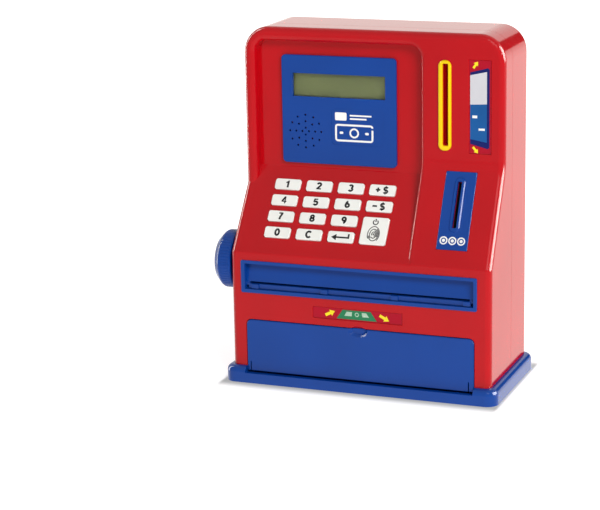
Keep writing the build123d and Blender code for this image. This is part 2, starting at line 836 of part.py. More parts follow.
save(rod(knob_x[1] - 9, shaft_end_x, shaft_y, shaft_z, shaft_r), "feed_shaft")
save(rollers(shaft_y, shaft_z, feed_roller_r, shaft_r), "feed_rollers")
save(rod(-guide_cheek_x - 0.8, guide_cheek_x + 0.8, shaft_y, idler_z, idler_shaft_r), "idler_shaft")
save(rollers(shaft_y, idler_z, idler_roller_r, idler_shaft_r), "idler_rollers")

with BuildPart() as feed_bush_left:
    with BuildSketch(Plane.YZ.offset(-half_width)):
        with Locations((shaft_y, shaft_z)):
            Circle(bush_r)
    extrude(amount=8)
    with BuildSketch(Plane.YZ.offset(-side_x)):
        with Locations((shaft_y, shaft_z)):
            Circle(bush_flange_r)
    extrude(amount=1.5)
    with BuildSketch(Plane.YZ.offset(-half_width)):
        with Locations((shaft_y, shaft_z)):
            Circle(shaft_r + running_gap)
    extrude(amount=8, mode=Mode.SUBTRACT)
save(feed_bush_left, "feed_bush_left")

with BuildPart() as feed_bush_right:
    with BuildSketch(Plane.YZ.offset(right_bush_x - 1.5)):
        with Locations((shaft_y, shaft_z)):
            Circle(6)
    extrude(amount=1.5)
    with BuildSketch(Plane.YZ.offset(right_bush_x)):
        with Locations((shaft_y, shaft_z)):
            Circle(right_bush_r)
    extrude(amount=6)
    with BuildSketch(Plane.YZ.offset(right_bush_x - 1.5)):
        with Locations((shaft_y, shaft_z)):
            Circle(shaft_r + running_gap)
    extrude(amount=8, mode=Mode.SUBTRACT)
save(feed_bush_right, "feed_bush_right")

with BuildPart() as bill_guide:
    with BuildSketch(Plane.XY.offset(guide_top - guide_thick)):
        with Locations((0, guide_centre_y)):
            Rectangle(2 * (side_x - 0.3), guide_depth)
        with Locations(*[(x, shaft_y) for x in roller_xs]):
            Rectangle(roller_width + 2, 2 * idler_roller_r + 1.5, mode=Mode.SUBTRACT)
        with Locations(*guide_screws_at):
            Circle(1.4, mode=Mode.SUBTRACT)
    extrude(amount=guide_thick)
    for side in (-1, 1):
        with BuildSketch(Plane.YZ.offset(side * guide_cheek_x - 1.2)):
            with Locations((shaft_y, guide_top - guide_thick)):
                Rectangle(10, 6.5, align=(Align.CENTER, Align.MAX))
        extrude(amount=2.4)
    with BuildSketch(Plane.YZ.offset(-guide_cheek_x - 2)):
        with Locations((shaft_y, idler_z)):
            Circle(idler_shaft_r + running_gap)
    extrude(amount=2 * (guide_cheek_x + 2), mode=Mode.SUBTRACT)
save(bill_guide, "bill_guide")
guide_screws = screw(guide_screws_at, Plane.XY.offset(guide_top), 5, 1.2, 1.2, 2.0)
save(guide_screws, "guide_screws")

# ---------------------------------------------------------------- card and coin slots
with BuildPart() as card_slot_bezel:
    with BuildSketch(facing(upper_y)):
        with Locations((middle(card_bezel_x), middle(card_bezel_z))):
            RectangleRounded(length(card_bezel_x), length(card_bezel_z), 4.0)
    extrude(amount=1.8)
    fillet(card_slot_bezel.faces().sort_by(Axis.Y)[0].edges(), 1.2)
    with BuildSketch(facing(upper_y)):
        with Locations((middle(card_slot_x), middle(card_slot_z))):
            RectangleRounded(length(card_slot_x) + 0.8, length(card_slot_z) + 0.8, 0.8)
    extrude(amount=1.8, mode=Mode.SUBTRACT)
    fillet(card_slot_bezel.faces().sort_by(Axis.Y)[0].inner_wires()[0].edges(), 0.6)
save(card_slot_bezel, "card_slot_bezel")

with BuildPart() as coin_slot_plate:
    with BuildSketch(column_plane.offset(-1)):
        with Locations((middle(coin_plate_x), middle(coin_plate_s))):
            RectangleRounded(length(coin_plate_x) - 0.3, length(coin_plate_s) - 0.3, 0.8)
    extrude(amount=1.5)
    fillet(coin_slot_plate.faces().filter_by(column_plane).sort_by(Axis.Y)[0].edges(), 0.4)
    # The raised lip around the slot.
    with BuildSketch(column_plane.offset(0.5)):
        with Locations((middle(coin_slot_x), middle(coin_slot_s))):
            SlotOverall(length(coin_slot_s) + 6, length(coin_slot_x) + 4.4, rotation=90)
    extrude(amount=0.9, taper=35)
    with BuildSketch(column_plane.offset(2)):
        with Locations((middle(coin_slot_x), middle(coin_slot_s))):
            Rectangle(length(coin_slot_x), length(coin_slot_s))
    extrude(amount=-4, mode=Mode.SUBTRACT)
save(coin_slot_plate, "coin_slot_plate")

for name, span_x, span_z, y in (
    ("bill_label", bill_label_x, bill_label_z, front_y + label_depth),
    ("card_label", card_label_x, card_label_z, upper_y + label_depth),
):
    with BuildPart() as label:
        with BuildSketch(facing(y)):
            with Locations((middle(span_x), middle(span_z))):
                Rectangle(length(span_x) - 0.3, length(span_z) - 0.3)
        extrude(amount=label_thick)
    save(label, name)


def lever(pivot_y, pivot_z, reach, x_span, pin_x, angle):
    """A sensing lever on its own pin, both turning about X."""
    with BuildPart() as made:
        with BuildSketch(Plane.YZ.offset(x_span[0])):
            with Locations((pivot_y, pivot_z)):
                Circle(2)
                with Locations(Location((0, 0, 0), (0, 0, angle))):
                    SlotCenterPoint((reach / 2, 0), (reach, 0), 1.8)
        extrude(amount=length(x_span))
        with BuildSketch(Plane.YZ.offset(pin_x[0])):
            with Locations((pivot_y, pivot_z)):
                Circle(1)
        extrude(amount=length(pin_x))
    return made


def switch(y_span, z_span, x_span):
    """A small sealed switch: a box with three pins out of its back."""
    with BuildPart() as made:
        with BuildSketch(Plane.YZ.offset(x_span[0])):
            with Locations((middle(y_span), middle(z_span))):
                RectangleRounded(length(y_span), length(z_span), 0.6)
        extrude(amount=length(x_span))
        with BuildSketch(Plane.XY.offset(z_span[1])):
            with Locations(*[(middle(x_span), y_span[0] + step) for step in (1.2, 3.2, 5.2)]):
                Rectangle(1.2, 0.5)
        extrude(amount=2.5)
    return made


# Card guide: two cheeks joined above and below, with the card's channel between them.
card_pivot = (29.0, 212.0)
guide_x = (card_slot_x[0] - 1.4, card_slot_x[1] + 1.4)
with BuildPart() as card_guide:
    with BuildSketch(facing(34)):
        with Locations((middle(guide_x), middle(card_slot_z))):
            Rectangle(length(guide_x), length(card_slot_z) + 4)
            Rectangle(length(card_slot_x), length(card_slot_z), mode=Mode.SUBTRACT)
    extrude(amount=34 - upper_y - wall)
    with BuildSketch(Plane.YZ.offset(guide_x[0])):
        with Locations(card_pivot):
            Circle(1 + running_gap)
    extrude(amount=length(guide_x), mode=Mode.SUBTRACT)
save(card_guide, "card_guide")
card_lever = lever(
    *card_pivot, 13, (card_slot_x[0] + 0.7, card_slot_x[1] - 0.7), (guide_x[0] + 0.2, guide_x[1] - 0.2), -90
)
save(card_lever, "card_lever")
save(switch((34.2, 41.0), (190, 204), guide_x), "card_switch")

# Coin chute: a flat channel from the slot, back past the bill rollers and down to the compartment.
coin_pivot = (29.5, 100.0)
chute_x = (coin_slot_x[0] - 1.4, coin_slot_x[1] + 1.4)


def chute_outline(inset):
    """Side view of the chute, open at the slot and at its foot when inset."""
    inner = wall + 0.1
    normal = column_plane.z_dir
    low = column_plane.from_local_coords(Vector(0, coin_slot_s[0] - 2 + inset, -inner + 3 * inset))
    high = column_plane.from_local_coords(Vector(0, coin_slot_s[1] + 2 - inset, -inner + 3 * inset))
    return [
        (low.Y, low.Z),
        (high.Y, high.Z),
        (high.Y + 6 - inset, high.Z - inset),
        (34 - inset, 118 - inset),
        (34 - inset, 58 - 3 * inset),
        (-3.5 + inset, 58 - 3 * inset),
        (-3.5 + inset, 95 + inset),
    ]


with BuildPart() as coin_chute:
    with BuildSketch(Plane.YZ.offset(chute_x[0])):
        with BuildLine():
            Polyline(*chute_outline(0), close=True)
        make_face()
    extrude(amount=length(chute_x))
    with BuildSketch(Plane.YZ.offset(coin_slot_x[0])):
        with BuildLine():
            Polyline(*chute_outline(1.3), close=True)
        make_face()
    extrude(amount=length(coin_slot_x), mode=Mode.SUBTRACT)
    with BuildSketch(Plane.YZ.offset(chute_x[0])):
        with Locations(coin_pivot):
            Circle(1 + running_gap)
    extrude(amount=length(chute_x), mode=Mode.SUBTRACT)
save(coin_chute, "coin_chute")
coin_lever = lever(
    *coin_pivot, 13, (coin_slot_x[0] + 0.7, coin_slot_x[1] - 0.7), (chute_x[0] + 0.2, chute_x[1] - 0.2), 180
)
save(coin_lever, "coin_lever")
save(switch((34.2, 41.0), (93, 107), chute_x), "coin_switch")

# ---------------------------------------------------------------- batteries
cell_zs = [cell_z - cell_pitch, cell_z, cell_z + cell_pitch]
with BuildPart() as battery_box:
    with BuildSketch(facing(back_y - wall)):
        with Locations((0, cell_z)):
            Rectangle(2 * battery_half_x, length(battery_z) + 3)
    extrude(amount=back_y - wall - battery_y)
    with BuildSketch(facing(back_y - wall)):
        with Locations((0, cell_z)):
            Rectangle(2 * battery_half_x - 3, length(battery_z))
    extrude(amount=back_y - wall - battery_y - 1.3, mode=Mode.SUBTRACT)
save(battery_box, "battery_box")

with BuildPart() as battery_cells:
    for z in cell_zs:
        with BuildSketch(Plane.YZ.offset(-cell_length / 2)):
            with Locations((cell_y, z)):
                Circle(cell_r)
        extrude(amount=cell_length - 1)
        with BuildSketch(Plane.YZ.offset(cell_length / 2 - 1)):
            with Locations((cell_y, z)):
                Circle(2.7)
        extrude(amount=1.2)
save(battery_cells, "battery_cells")

with BuildPart() as battery_contacts:
    for side in (-1, 1):
        for z in cell_zs:
            with BuildSketch(Plane.YZ.offset(side * (battery_half_x - 1.5))):
                with Locations((cell_y, z)):
                    Rectangle(11, 11)
            extrude(amount=-side * 0.5)
            with BuildSketch(Plane.YZ.offset(side * (battery_half_x - 2.0))):
                with Locations((cell_y, z)):
                    Circle(4)
            extrude(amount=-side * 2.6, taper=20)
save(battery_contacts, "battery_contacts")

with BuildPart() as battery_door:
    with BuildSketch(facing(back_y)):
        with Locations((0, middle(battery_door_z))):
            Rectangle(2 * battery_door_half, length(battery_door_z))
        fillet(vertices(), 3)
        with Locations((0, battery_screw_z)):
            Circle(screw_r + 0.1, mode=Mode.SUBTRACT)
    extrude(amount=battery_door_thick)
save(battery_door, "battery_door")
battery_door_screw = screw([(0, battery_screw_z)], backing(back_y), 8, 1.8, screw_r - 0.05, screw_head_r)
save(battery_door_screw, "battery_door_screw")

# ---------------------------------------------------------------- wiring
ribbon_thick = 0.6
board_edge = keypad_plane.from_local_coords(Vector(0, 60, -pad_board_depth - 0.8))
with BuildPart() as keypad_ribbon:
    with BuildLine(Plane.YZ.offset(-36)):
        FilletPolyline(
            (board_edge.Y, board_edge.Z), (board_edge.Y + 4, board_edge.Z + 5.4), (4.8, 143), (4.8, 150),
            radius=3,
        )
    with BuildSketch(Plane(origin=(-36, board_edge.Y, board_edge.Z), x_dir=(1, 0, 0), z_dir=(0, 4, 5.4))):
        Rectangle(20, ribbon_thick)
    sweep()
save(keypad_ribbon, "keypad_ribbon")
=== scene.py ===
import json
import math

import bmesh
import bpy
from mathutils import Matrix, Vector


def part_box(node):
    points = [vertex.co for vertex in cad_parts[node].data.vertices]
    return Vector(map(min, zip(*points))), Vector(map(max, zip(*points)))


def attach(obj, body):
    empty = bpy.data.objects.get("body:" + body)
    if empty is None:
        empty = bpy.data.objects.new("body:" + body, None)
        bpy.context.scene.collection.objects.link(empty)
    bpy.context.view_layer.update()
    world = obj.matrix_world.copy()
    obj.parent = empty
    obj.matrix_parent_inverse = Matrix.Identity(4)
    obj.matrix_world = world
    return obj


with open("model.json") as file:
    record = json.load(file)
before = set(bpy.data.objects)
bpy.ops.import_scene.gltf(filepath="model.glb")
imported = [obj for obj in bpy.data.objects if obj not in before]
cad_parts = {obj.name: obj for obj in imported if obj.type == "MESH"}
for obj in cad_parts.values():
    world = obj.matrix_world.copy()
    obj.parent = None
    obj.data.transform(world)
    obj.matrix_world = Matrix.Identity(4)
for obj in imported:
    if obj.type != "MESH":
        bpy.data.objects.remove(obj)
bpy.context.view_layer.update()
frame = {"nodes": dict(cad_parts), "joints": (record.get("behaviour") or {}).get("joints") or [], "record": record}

# Looks of a toy cash machine savings bank. Metres, +X to the viewer's right, +Y back, +Z up.

NODES = frame["nodes"]
MM = 0.001


# ---------------------------------------------------------------- camera, light and floor
def make_camera():
    """A long lens, from the front, to the right and a little above."""
    azimuth, elevation, roll = math.radians(21.513), math.radians(14.310), math.radians(-1.098)
    target, distance = Vector((-0.05890, 0.0, 0.08129)), 1.43639
    back = Vector((
        math.sin(azimuth) * math.cos(elevation),
        -math.cos(azimuth) * math.cos(elevation),
        math.sin(elevation),
    ))
    data = bpy.data.cameras.new("camera")
    data.lens = 122.37
    data.sensor_width = 36.0
    data.dof.use_dof = False
    camera = bpy.data.objects.new("camera", data)
    camera.location = target + back * distance
    turn = (-back).to_track_quat("-Z", "Y")
    camera.rotation_mode = "QUATERNION"
    camera.rotation_quaternion = turn @ Matrix.Rotation(roll, 3, "Z").to_quaternion()
    bpy.context.collection.objects.link(camera)
    bpy.context.scene.camera = camera


LAMPS_AIM = Vector((0, 0, 0.12))


def area_light(name, place, size, power):
    """A soft rectangular lamp at place, turned to the middle of the object."""
    data = bpy.data.lights.new(name, "AREA")
    data.shape = "RECTANGLE"
    data.size, data.size_y = size
    data.energy = power
    lamp = bpy.data.objects.new(name, data)
    lamp.location = place
    lamp.rotation_mode = "QUATERNION"
    lamp.rotation_quaternion = (LAMPS_AIM - Vector(place)).to_track_quat("-Z", "Y")
    bpy.context.collection.objects.link(lamp)
    return lamp


def math_node(tree, operation, first, second):
    """first and second combined; each is a socket or a number."""
    node = tree.nodes.new("ShaderNodeMath")
    node.operation = operation
    for socket, value in zip(node.inputs, (first, second)):
        if isinstance(value, (int, float)):
            socket.default_value = value
        else:
            tree.links.new(value, socket)
    return node.outputs["Value"]


def ramp(tree, value, start, end, low, high, interpolation="SMOOTHSTEP"):
    """A rise from low to high as value goes from start to end, smooth unless told otherwise."""
    node = tree.nodes.new("ShaderNodeMapRange")
    node.interpolation_type = interpolation
    ends = {"From Min": start, "From Max": end, "To Min": low, "To Max": high}
    for socket, number in ends.items():
        node.inputs[socket].default_value = number
    tree.links.new(value, node.inputs["Value"])
    return node.outputs["Result"]


def mix(tree, factor, first, second):
    """A number that runs from first to second with factor."""
    node = tree.nodes.new("ShaderNodeMix")
    tree.links.new(factor, node.inputs["Factor"])
    tree.links.new(first, node.inputs[2])
    tree.links.new(second, node.inputs[3])
    return node.outputs[0]


def toward(tree, direction, vector):
    """How nearly direction points along vector: the cosine of the angle between them."""
    node = tree.nodes.new("ShaderNodeVectorMath")
    node.operation = "DOT_PRODUCT"
    tree.links.new(direction, node.inputs[0])
    node.inputs[1].default_value = Vector(vector).normalized()
    return node.outputs["Value"]


# Directions in the world, seen from the object.
RIGHT_LAMP = (0.93, 0.18, 0.30)
RIGHT_LAMP_STRENGTH = 34.0
STRIP_SIDE = (0.035, 1.0, 0.0)     # the strip stands in the plane square to this
STRIP_STRENGTH = 15.0
DARK_GAP = (0.34, 0.90, 0.27)
WARM_WHITE = (1.0, 0.975, 0.925)


def make_world():
    """A studio: soft light for the surfaces, and brighter walls and lamps for reflections."""
    world = bpy.data.worlds.new("studio")
    world.use_nodes = True
    tree = world.node_tree
    background = tree.nodes["Background"]
    place = tree.nodes.new("ShaderNodeTexCoord")
    direction = place.outputs["Generated"]
    split = tree.nodes.new("ShaderNodeSeparateXYZ")
    tree.links.new(direction, split.inputs["Vector"])
    x, y, z = (split.outputs[axis] for axis in "XYZ")
    # What lights the surfaces: stronger from behind, weaker from overhead.
    around = ramp(tree, y, -0.1, 0.6, 0.20, 1.25)
    height = ramp(tree, z, 0.3, 0.95, 1.0, 0.35)
    soft = math_node(tree, "MULTIPLY", around, height)

    # What reflections see: the floor's side of the horizon, then the studio above it.
    in_front = ramp(tree, z, -0.28, -0.14, 1.35, 0.85)
    behind = ramp(tree, z, -0.28, -0.15, 1.58, 1.74)
    below = mix(tree, ramp(tree, y, -0.3, 0.5, 0.0, 1.0), in_front, behind)
    above = ramp(tree, y, -0.3, 0.6, 1.0, 1.35)
    seen = mix(tree, ramp(tree, z, -0.06, 0.06, 0.0, 1.0), below, above)
    # A round lamp on the right, and on the left an upright strip that fades near the floor.
    right = ramp(tree, toward(tree, direction, RIGHT_LAMP), 0.89, 0.95, 0.0, RIGHT_LAMP_STRENGTH)
    off_strip = math_node(tree, "ABSOLUTE", toward(tree, direction, STRIP_SIDE), 0.0)
    strip = ramp(tree, off_strip, 0.08, 0.18, STRIP_STRENGTH, 0.0)
    on_left = ramp(tree, x, -0.7, -0.45, 1.0, 0.0)
    raised = ramp(tree, z, -0.27, -0.18, 0.1, 1.0)
    left = math_node(tree, "MULTIPLY", strip, math_node(tree, "MULTIPLY", on_left, raised))
    lamps = math_node(tree, "ADD", right, left)
    # A dark gap between the lights behind, which the round right corner picks up.
    open_wall = ramp(tree, toward(tree, direction, DARK_GAP), 0.977, 0.981, 1.0, 0.06)
    walls = math_node(tree, "MULTIPLY", seen, open_wall)
    mirrored = math_node(tree, "ADD", walls, lamps)

    ray = tree.nodes.new("ShaderNodeLightPath")
    strength = mix(tree, ray.outputs["Is Glossy Ray"], soft, mirrored)
    background.inputs["Color"].default_value = (*WARM_WHITE, 1.0)
    tree.links.new(strength, background.inputs["Strength"])
    bpy.context.scene.world = world


FLOOR_HALF = 12.0
BASE_HALF = {"X": 0.098, "Y": 0.0495}
SHADE_REACH = 0.0145
SHADE_DEEPEST = 0.38
SHADE_NARROWING = {"X": 3.6, "Y": 1.0}


def make_floor():
    """A wide lit floor, brighter behind and to the right, with painted shade at the base."""
    mesh = bpy.data.meshes.new("floor")
    corners = [(x * FLOOR_HALF, y * FLOOR_HALF, 0) for x, y in ((-1, -1), (1, -1), (1, 1), (-1, 1))]
    mesh.from_pydata(corners, [], [(0, 1, 2, 3)])
    floor = bpy.data.objects.new("floor", mesh)
    floor.visible_glossy = False
    bpy.context.collection.objects.link(floor)
    material = bpy.data.materials.new("pale_floor")
    material.use_nodes = True
    tree = material.node_tree
    shader = tree.nodes["Principled BSDF"]
    shader.inputs["Roughness"].default_value = 0.9
    shader.inputs["Specular IOR Level"].default_value = 0.0
    place = tree.nodes.new("ShaderNodeNewGeometry")
    split = tree.nodes.new("ShaderNodeSeparateXYZ")
    tree.links.new(place.outputs["Position"], split.inputs["Vector"])
    sideways = math_node(tree, "MULTIPLY", split.outputs["X"], 0.7)
    slant = math_node(tree, "ADD", sideways, split.outputs["Y"])
    field = ramp(tree, slant, -0.1, 0.45, 0.82, 1.3)
    # The painted shade is narrow at the sides and wider in front, and it rounds the corners.
    squares = []
    for axis in "XY":
        out = math_node(tree, "ABSOLUTE", split.outputs[axis], 0.0)
        out = math_node(tree, "SUBTRACT", out, BASE_HALF[axis])
        out = math_node(tree, "MAXIMUM", out, 0.0)
        out = math_node(tree, "MULTIPLY", out, SHADE_NARROWING[axis])
        squares.append(math_node(tree, "MULTIPLY", out, out))
    beyond = math_node(tree, "SQRT", math_node(tree, "ADD", *squares), 0.0)
    near = ramp(tree, beyond, 0.0, SHADE_REACH, SHADE_DEEPEST, 1.0)
    # The painted shade is drawn for the eye only, so the light the floor throws back stays even.
    ray = tree.nodes.new("ShaderNodeLightPath")
    unseen = math_node(tree, "SUBTRACT", 1.0, ray.outputs["Is Camera Ray"])
    near = math_node(tree, "MAXIMUM", near, unseen)
    tree.links.new(math_node(tree, "MULTIPLY", near, 0.5), shader.inputs["Base Color"])
    tree.links.new(math_node(tree, "MULTIPLY", field, near), shader.inputs["Emission Strength"])
    shader.inputs["Emission Color"].default_value = (1, 1, 1, 1)
    mesh.materials.append(material)


# ---------------------------------------------------------------- materials
def shader_of(name):
    """A new node material, with its node tree and its shader."""
    material = bpy.data.materials.new(name)
    material.use_nodes = True
    tree = material.node_tree
    return material, tree, tree.nodes["Principled BSDF"]


NOISE_RANGE = (0.35, 0.65)


def noise(tree, scale, detail):
    """Noise through the object's own coordinates, so its grain is a real size."""
    place = tree.nodes.new("ShaderNodeTexCoord")
    texture = tree.nodes.new("ShaderNodeTexNoise")
    texture.inputs["Scale"].default_value = scale
    texture.inputs["Detail"].default_value = detail
    tree.links.new(place.outputs["Object"], texture.inputs["Vector"])
    return texture.outputs["Fac"]


def remap(tree, value, low, high):
    """Noise, stretched in a straight line from the range it mostly stays in to low..high."""
    return ramp(tree, value, *NOISE_RANGE, low, high, "LINEAR")


def blend_colours(tree, factor, first, second):
    """A colour that runs from first to second with factor."""
    node = tree.nodes.new("ShaderNodeMix")
    node.data_type = "RGBA"
    node.inputs[6].default_value = (*first, 1)
    node.inputs[7].default_value = (*second, 1)
    tree.links.new(factor, node.inputs["Factor"])
    return node.outputs[2]


def add_bump(tree, shader, height, strength, distance):
    """Height pressed into the surface's normal."""
    node = tree.nodes.new("ShaderNodeBump")
    node.inputs["Strength"].default_value = strength
    node.inputs["Distance"].default_value = distance
    tree.links.new(height, node.inputs["Height"])
    tree.links.new(node.outputs["Normal"], shader.inputs["Normal"])


def scaled(colour, factor):
    """A colour made lighter or darker by factor."""
    return tuple(channel * factor for channel in colour)


def moulded(name, colour, roughness, ior=1.3, spread=0.05, ripple=0.03):
    """Glossy moulded plastic: slow changes of tone, uneven polish and a faint ripple."""
    material, tree, shader = shader_of(name)
    slow = remap(tree, noise(tree, 18.0, 2.0), 0.0, 1.0)
    tone = blend_colours(tree, slow, scaled(colour, 1 - spread), scaled(colour, 1 + spread))
    tree.links.new(tone, shader.inputs["Base Color"])
    polish = remap(tree, noise(tree, 60.0, 4.0), roughness * 0.8, roughness * 1.25)
    tree.links.new(polish, shader.inputs["Roughness"])
    shader.inputs["IOR"].default_value = ior
    add_bump(tree, shader, noise(tree, 220.0, 2.0), ripple, 0.0004)
    return material


def satin(name, colour, roughness, spread=0.06, grain=900.0, ripple=0.12, ior=1.45):
    """Satin plastic, rubber or print with a fine grain."""
    material, tree, shader = shader_of(name)
    slow = remap(tree, noise(tree, 40.0, 3.0), 0.0, 1.0)
    tone = blend_colours(tree, slow, scaled(colour, 1 - spread), scaled(colour, 1 + spread))
    tree.links.new(tone, shader.inputs["Base Color"])
    polish = remap(tree, noise(tree, 150.0, 3.0), roughness * 0.85, roughness * 1.15)
    tree.links.new(polish, shader.inputs["Roughness"])
    shader.inputs["IOR"].default_value = ior
    add_bump(tree, shader, noise(tree, grain, 2.0), ripple, 0.0001)
    return material


def metal(name, colour, roughness):
    """Plated metal with fine scratches."""
    material, tree, shader = shader_of(name)
    shader.inputs["Metallic"].default_value = 1.0
    fine = remap(tree, noise(tree, 300.0, 3.0), 0.0, 1.0)
    tone = blend_colours(tree, fine, scaled(colour, 0.85), colour)
    tree.links.new(tone, shader.inputs["Base Color"])
    polish = remap(tree, noise(tree, 900.0, 3.0), roughness * 0.7, roughness * 1.3)
    tree.links.new(polish, shader.inputs["Roughness"])
    return material


def clear_window():
    """Clear plastic with a faint smear in its polish."""
    material, tree, shader = shader_of("clear_window")
    shader.inputs["Base Color"].default_value = (0.95, 0.97, 0.95, 1)
    shader.inputs["Transmission Weight"].default_value = 1.0
    shader.inputs["IOR"].default_value = 1.1
    polish = remap(tree, noise(tree, 80.0, 2.0), 0.01, 0.05)
    tree.links.new(polish, shader.inputs["Roughness"])
    return material


RED = (0.485, 0.001, 0.006)
BLUE = (0.002, 0.050, 0.29)
YELLOW = (0.92, 0.64, 0.002)
WHITE = (0.92, 0.93, 0.88)
INK = (0.012, 0.012, 0.014)

MATERIALS = {
    "red_plastic": moulded("red_plastic", RED, 0.07),
    # A lighter, brighter copy of the red plastic: painted light, so the card guide inside the card slot looks lit.
    "red_painted_lit": moulded("red_painted_lit", (0.97, 0.015, 0.015), 0.2),
    "blue_plastic": moulded("blue_plastic", BLUE, 0.12),
    "yellow_plastic": moulded("yellow_plastic", YELLOW, 0.2),
    "white_plastic": satin("white_plastic", WHITE, 0.38, spread=0.02),
    "natural_plastic": satin("natural_plastic", (0.62, 0.60, 0.55), 0.45),
    "dark_plastic": satin("dark_plastic", (0.02, 0.02, 0.022), 0.5),
    "grey_rubber": satin("grey_rubber", (0.06, 0.06, 0.065), 0.7, grain=1500.0, ripple=0.3),
    "steel": metal("steel", (0.62, 0.61, 0.58), 0.35),
    "circuit_board": satin("circuit_board", (0.02, 0.16, 0.06), 0.4),
    "clear_window": clear_window(),
    "lcd": satin("lcd", (0.126, 0.142, 0.053), 0.35, spread=0.05),
    "printed_label": satin("printed_label", (0.42, 0.002, 0.018), 0.3, spread=0.04, ior=1.25),
    "contact_metal": metal("contact_metal", (0.80, 0.74, 0.55), 0.3),
    "cell_jacket": satin("cell_jacket", (0.03, 0.035, 0.04), 0.3),
    "speaker_metal": satin("speaker_metal", (0.03, 0.03, 0.032), 0.5),
}
INK_PRINT = satin("ink_print", INK, 0.45, spread=0.3, ior=1.25)
WHITE_PRINT = satin("white_print", (0.90, 0.90, 0.88), 0.4, spread=0.03)
YELLOW_PRINT = satin("yellow_print", (0.93, 0.76, 0.01), 0.4, spread=0.05)
GREEN_PRINT = satin("green_print", (0.004, 0.19, 0.07), 0.4, spread=0.08)
PALE_GREEN_PRINT = satin("pale_green_print", (0.42, 0.60, 0.45), 0.4, spread=0.08)
NAVY_PRINT = satin("navy_print", (0.004, 0.010, 0.12), 0.3, spread=0.08, ior=1.25)
SKY_PRINT = satin("sky_print", (0.004, 0.09, 0.31), 0.35, spread=0.08, ior=1.3)
SILVER_PRINT = satin("silver_print", (0.62, 0.62, 0.66), 0.35, spread=0.05)


def paint_frame():
    """Every CAD node takes the material of its slot, and the card guide a lighter red, painted light inside the
    card slot.
    """
    slots = {part["node"]: part["material_slot"] for part in frame["record"]["subparts"]}
    slots["card_guide"] = "red_painted_lit"
    for name, node in NODES.items():
        node.data.materials.clear()
        node.data.materials.append(MATERIALS[slots[name]])


# ---------------------------------------------------------------- printed graphics
FRONT = Vector((0, -1, 0))
COLUMN_ANGLE = math.radians(63.0)      # the slope of the right column, which holds the coin plate
COLUMN_FRONT = Vector((0, -math.sin(COLUMN_ANGLE), math.cos(COLUMN_ANGLE)))
FACE_DEPTH = 0.00015                   # points this near the outermost one are on the face
PRINT_THICK = 0.05                     # millimetres, as are the next two
OVERPRINT_THICK = 0.07
TOP_PRINT_THICK = 0.09
PANEL_PRINT_DROP = 0.0003              # the print is on a patch this far below the panel's face
COIN_PRINT_DROP = 0.0009               # the lip of the coin slot stands this far above its plate


def joint_axis(name):
    """The direction in which a joint moves or turns."""
    return next(Vector(joint["axis"]) for joint in frame["joints"] if joint["name"] == name)


class Surface:
    """The outermost flat face of a CAD node along a normal, to lay graphics out on."""

    def __init__(self, node, normal):
        self.normal = normal.normalized()
        self.right = Vector((1, 0, 0))
        self.up = self.normal.cross(self.right)
        points = [vertex.co for vertex in NODES[node].data.vertices]
        self.height = max(point.dot(self.normal) for point in points)
        lowest = self.height - FACE_DEPTH
        face = [point for point in points if point.dot(self.normal) > lowest]
        self.x = [f(point.x for point in face) for f in (min, max)]
        self.s = [f(point.dot(self.up) for point in face) for f in (min, max)]

    def matrix(self, lift=0.0):
        """From millimetres about the face's middle to the row frame."""
        middle = (
            self.right * (sum(self.x) / 2)
            + self.up * (sum(self.s) / 2)
            + self.normal * (self.height + lift)
        )
        turn = Matrix((self.right, self.up, self.normal)).transposed().to_4x4()
        return Matrix.Translation(middle) @ turn @ Matrix.Scale(MM, 4)


def add_piece(name, mesh, material, body):
    """A painted mesh that rides on a body."""
    piece = bpy.data.objects.new(name, mesh)
    bpy.context.collection.objects.link(piece)
    piece.data.materials.append(material)
    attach(piece, body)
    return piece


def print_shapes(name, matrix, shapes, material, body, thick=PRINT_THICK):
    """Flat printed shapes as thin raised plates. Each is a list of (x, y) in millimetres."""
    mesh = bpy.data.meshes.new(name)
    build = bmesh.new()
    for outline in shapes:
        corners = [build.verts.new((x, y, 0)) for x, y in outline]
        face = build.faces.new(corners)
        face.normal_update()
        if face.normal.z < 0:
            face.normal_flip()
        raised = bmesh.ops.extrude_face_region(build, geom=[face])
        moved = [item for item in raised["geom"] if isinstance(item, bmesh.types.BMVert)]
        bmesh.ops.translate(build, verts=moved, vec=(0, 0, thick))
    bmesh.ops.recalc_face_normals(build, faces=build.faces)
    bmesh.ops.transform(build, matrix=matrix, verts=build.verts)
    build.to_mesh(mesh)
    build.free()
    return add_piece(name, mesh, material, body)


def arc(centre, radius, start, end, steps=24):
    """Points along an arc, angles in degrees."""
    spread = [math.radians(start + (end - start) * i / steps) for i in range(steps + 1)]
    return [(centre[0] + radius * math.cos(a), centre[1] + radius * math.sin(a)) for a in spread]


def band(path, thick):
    """A strip of even width along a path, as one closed outline."""
    sides = ([], [])
    for i, point in enumerate(path):
        before = Vector(path[max(i - 1, 0)])
        after = Vector(path[min(i + 1, len(path) - 1)])
        along = (after - before).normalized()
        across = Vector((-along.y, along.x)) * thick / 2
        sides[0].append(tuple(Vector(point) + across))
        sides[1].append(tuple(Vector(point) - across))
    return sides[0] + sides[1][::-1]


def ring(centre, outer, inner, steps=36):
    """A ring as two half bands."""
    middle, thick = (outer + inner) / 2, outer - inner
    return [band(arc(centre, middle, a, a + 180, steps // 2), thick) for a in (0, 180)]


def rectangle(x_from, y_from, x_to, y_to):
    """The four corners of a rectangle."""
    return [(x_from, y_from), (x_to, y_from), (x_to, y_to), (x_from, y_to)]


def rounded(x_from, y_from, x_to, y_to, radius, steps=6):
    """A rectangle with round corners."""
    corners = (
        ((x_to - radius, y_to - radius), 0),
        ((x_from + radius, y_to - radius), 90),
        ((x_from + radius, y_from + radius), 180),
        ((x_to - radius, y_from + radius), 270),
    )
    turns = [arc(centre, radius, start, start + 90, steps) for centre, start in corners]
    return sum(turns, [])


